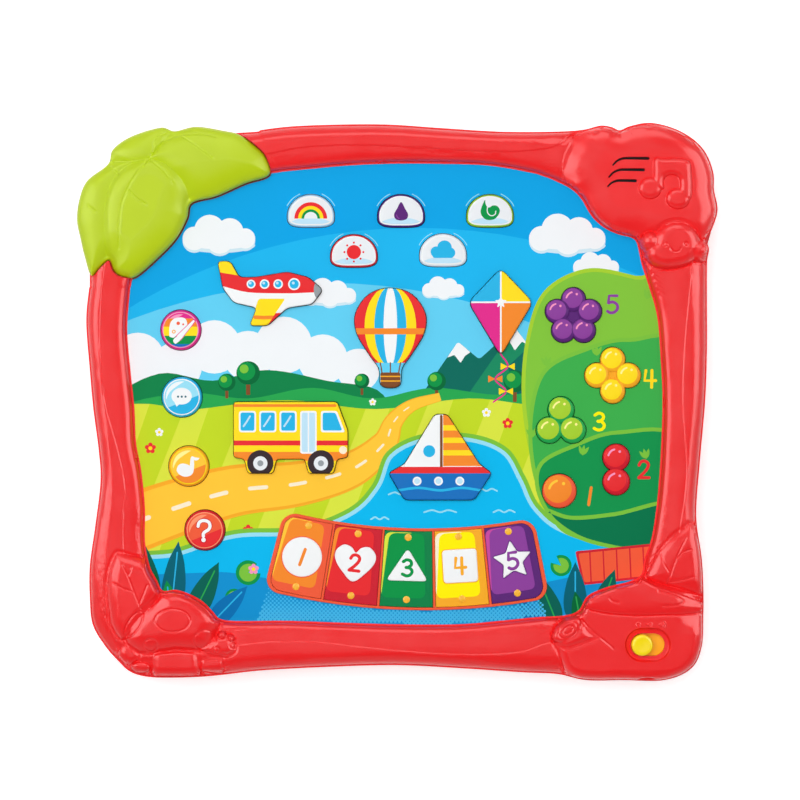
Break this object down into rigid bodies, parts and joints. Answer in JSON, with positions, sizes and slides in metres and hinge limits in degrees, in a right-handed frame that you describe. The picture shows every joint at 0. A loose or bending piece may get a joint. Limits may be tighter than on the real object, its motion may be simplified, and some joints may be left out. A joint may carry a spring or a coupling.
{
  "type": "busy board",
  "caption": "Electronic activity board: a moulded frame with sculpted corners round a printed face of press pads and piano keys, with a slide switch.",
  "frame": {"origin": "centre of the board's outline on the table under its rubber feet", "axes": "+X to the right across the face, +Y up the face as it is read, +Z out of the printed face"},
  "size_m": [0.36, 0.3139, 0.0469],
  "materials": {
    "frame_red": "smooth moulded red, satin gloss",
    "rear_red": "fine textured red",
    "palm_green": "smooth moulded lime green",
    "printed_face": "printed sheet, satin gloss",
    "surround_red": "smooth moulded red orange",
    "pad_white": "smooth white, printed",
    "pad_yellow": "smooth, printed",
    "pad_orange": "smooth, printed",
    "pad_blue": "smooth, printed",
    "pad_red": "smooth, printed",
    "pad_magenta": "smooth, printed",
    "pad_green": "smooth, printed",
    "pad_purple": "smooth, printed",
    "knob_yellow": "smooth moulded yellow",
    "slide_amber": "moulded amber",
    "foot_rubber": "matt soft rubber",
    "steel": "bright zinc plate",
    "cell_wrap": "printed wrap",
    "circuit_green": "green solder mask",
    "chip_black": "black resin",
    "dome_grey": "soft silicone",
    "cone_black": "pressed paper",
    "magnet_grey": "dark ferrite",
    "lead_red": "soft wire sleeve",
    "lead_black": "soft wire sleeve"
  },
  "bodies": {
    "housing": {"front_frame": "frame_red", "palm_cover": "palm_green", "face_panel": "printed_face", "piano_surround": "surround_red", "rear_cover": "rear_red", "battery_cells": "cell_wrap", "battery_contacts": "steel", "main_board": "circuit_green", "sound_chip": "chip_black", "contact_domes": "dome_grey", "board_screws": "steel", "case_screws": "steel", "rubber_feet": "foot_rubber", "speaker_basket": "steel", "speaker_cone": "cone_black", "speaker_magnet": "magnet_grey", "speaker_lead": "lead_red", "switch_lead": "lead_black", "switch_body": "steel", "switch_board": "circuit_green"},
    "power_switch": {"switch_knob": "knob_yellow", "switch_slide": "slide_amber", "switch_lever": "chip_black"},
    "battery_lid": {"battery_door": "rear_red", "door_screw": "steel"},
    "rainbow_press": {"rainbow_button": "pad_white"},
    "raindrop_press": {"raindrop_button": "pad_white"},
    "wind_press": {"wind_button": "pad_white"},
    "sun_press": {"sun_button": "pad_white"},
    "cloud_press": {"cloud_button": "pad_white"},
    "plane_touch": {"plane_pad": "pad_red"},
    "balloon_touch": {"balloon_pad": "pad_orange"},
    "kite_touch": {"kite_pad": "pad_magenta"},
    "bus_touch": {"bus_pad": "pad_yellow"},
    "boat_touch": {"boat_pad": "pad_blue"},
    "count_touch_1": {"count_pad_1": "pad_orange"},
    "count_touch_2": {"count_pad_2": "pad_red"},
    "count_touch_3": {"count_pad_3": "pad_green"},
    "count_touch_4": {"count_pad_4": "pad_yellow"},
    "count_touch_5": {"count_pad_5": "pad_purple"},
    "paint_press": {"paint_button": "pad_magenta"},
    "speech_press": {"speech_button": "pad_blue"},
    "music_press": {"music_button": "pad_orange"},
    "question_press": {"question_button": "pad_red"},
    "piano_press_1": {"piano_key_1": "pad_orange"},
    "piano_press_2": {"piano_key_2": "pad_red"},
    "piano_press_3": {"piano_key_3": "pad_green"},
    "piano_press_4": {"piano_key_4": "pad_yellow"},
    "piano_press_5": {"piano_key_5": "pad_purple"}
  },
  "joints": [
    {"name": "rainbow_button_travel", "type": "slide", "parent": "housing", "child": "rainbow_press", "axis": [0, 0, -1], "range_m": [0, 0.0011], "stiffness_N_per_m": 400, "springref_m": -0.0008},
    {"name": "raindrop_button_travel", "type": "slide", "parent": "housing", "child": "raindrop_press", "axis": [0, 0, -1], "range_m": [0, 0.0011], "stiffness_N_per_m": 400, "springref_m": -0.0008},
    {"name": "wind_button_travel", "type": "slide", "parent": "housing", "child": "wind_press", "axis": [0, 0, -1], "range_m": [0, 0.0011], "stiffness_N_per_m": 400, "springref_m": -0.0008},
    {"name": "sun_button_travel", "type": "slide", "parent": "housing", "child": "sun_press", "axis": [0, 0, -1], "range_m": [0, 0.0011], "stiffness_N_per_m": 400, "springref_m": -0.0008},
    {"name": "cloud_button_travel", "type": "slide", "parent": "housing", "child": "cloud_press", "axis": [0, 0, -1], "range_m": [0, 0.0011], "stiffness_N_per_m": 400, "springref_m": -0.0008},
    {"name": "plane_pad_travel", "type": "slide", "parent": "housing", "child": "plane_touch", "axis": [0, 0, -1], "range_m": [0, 0.0011], "stiffness_N_per_m": 400, "springref_m": -0.0008},
    {"name": "balloon_pad_travel", "type": "slide", "parent": "housing", "child": "balloon_touch", "axis": [0, 0, -1], "range_m": [0, 0.0011], "stiffness_N_per_m": 400, "springref_m": -0.0008},
    {"name": "kite_pad_travel", "type": "slide", "parent": "housing", "child": "kite_touch", "axis": [0, 0, -1], "range_m": [0, 0.0011], "stiffness_N_per_m": 400, "springref_m": -0.0008},
    {"name": "bus_pad_travel", "type": "slide", "parent": "housing", "child": "bus_touch", "axis": [0, 0, -1], "range_m": [0, 0.0011], "stiffness_N_per_m": 400, "springref_m": -0.0008},
    {"name": "boat_pad_travel", "type": "slide", "parent": "housing", "child": "boat_touch", "axis": [0, 0, -1], "range_m": [0, 0.0011], "stiffness_N_per_m": 400, "springref_m": -0.0008},
    {"name": "count_pad_1_travel", "type": "slide", "parent": "housing", "child": "count_touch_1", "axis": [0, 0, -1], "range_m": [0, 0.0011], "stiffness_N_per_m": 400, "springref_m": -0.0008},
    {"name": "count_pad_2_travel", "type": "slide", "parent": "housing", "child": "count_touch_2", "axis": [0, 0, -1], "range_m": [0, 0.0011], "stiffness_N_per_m": 400, "springref_m": -0.0008},
    {"name": "count_pad_3_travel", "type": "slide", "parent": "housing", "child": "count_touch_3", "axis": [0, 0, -1], "range_m": [0, 0.0011], "stiffness_N_per_m": 400, "springref_m": -0.0008},
    {"name": "count_pad_4_travel", "type": "slide", "parent": "housing", "child": "count_touch_4", "axis": [0, 0, -1], "range_m": [0, 0.0011], "stiffness_N_per_m": 400, "springref_m": -0.0008},
    {"name": "count_pad_5_travel", "type": "slide", "parent": "housing", "child": "count_touch_5", "axis": [0, 0, -1], "range_m": [0, 0.0011], "stiffness_N_per_m": 400, "springref_m": -0.0008},
    {"name": "paint_button_travel", "type": "slide", "parent": "housing", "child": "paint_press", "axis": [0, 0, -1], "range_m": [0, 0.0011], "stiffness_N_per_m": 400, "springref_m": -0.0008},
    {"name": "speech_button_travel", "type": "slide", "parent": "housing", "child": "speech_press", "axis": [0, 0, -1], "range_m": [0, 0.0011], "stiffness_N_per_m": 400, "springref_m": -0.0008},
    {"name": "music_button_travel", "type": "slide", "parent": "housing", "child": "music_press", "axis": [0, 0, -1], "range_m": [0, 0.0011], "stiffness_N_per_m": 400, "springref_m": -0.0008},
    {"name": "question_button_travel", "type": "slide", "parent": "housing", "child": "question_press", "axis": [0, 0, -1], "range_m": [0, 0.0011], "stiffness_N_per_m": 400, "springref_m": -0.0008},
    {"name": "piano_key_1_travel", "type": "slide", "parent": "housing", "child": "piano_press_1", "axis": [0, 0, -1], "range_m": [0, 0.0011], "stiffness_N_per_m": 400, "springref_m": -0.0008},
    {"name": "piano_key_2_travel", "type": "slide", "parent": "housing", "child": "piano_press_2", "axis": [0, 0, -1], "range_m": [0, 0.0011], "stiffness_N_per_m": 400, "springref_m": -0.0008},
    {"name": "piano_key_3_travel", "type": "slide", "parent": "housing", "child": "piano_press_3", "axis": [0, 0, -1], "range_m": [0, 0.0011], "stiffness_N_per_m": 400, "springref_m": -0.0008},
    {"name": "piano_key_4_travel", "type": "slide", "parent": "housing", "child": "piano_press_4", "axis": [0, 0, -1], "range_m": [0, 0.0011], "stiffness_N_per_m": 400, "springref_m": -0.0008},
    {"name": "piano_key_5_travel", "type": "slide", "parent": "housing", "child": "piano_press_5", "axis": [0, 0, -1], "range_m": [0, 0.0011], "stiffness_N_per_m": 400, "springref_m": -0.0008},
    {"name": "power_slide", "type": "slide", "parent": "housing", "child": "power_switch", "axis": [1, 0, 0], "range_m": [0, 0.0066]},
    {"name": "battery_door_hinge", "type": "hinge", "parent": "housing", "child": "battery_lid", "pos_m": [0, 0.0353, 0.002], "axis": [1, 0, 0], "range_deg": [0, 75]}
  ]
}
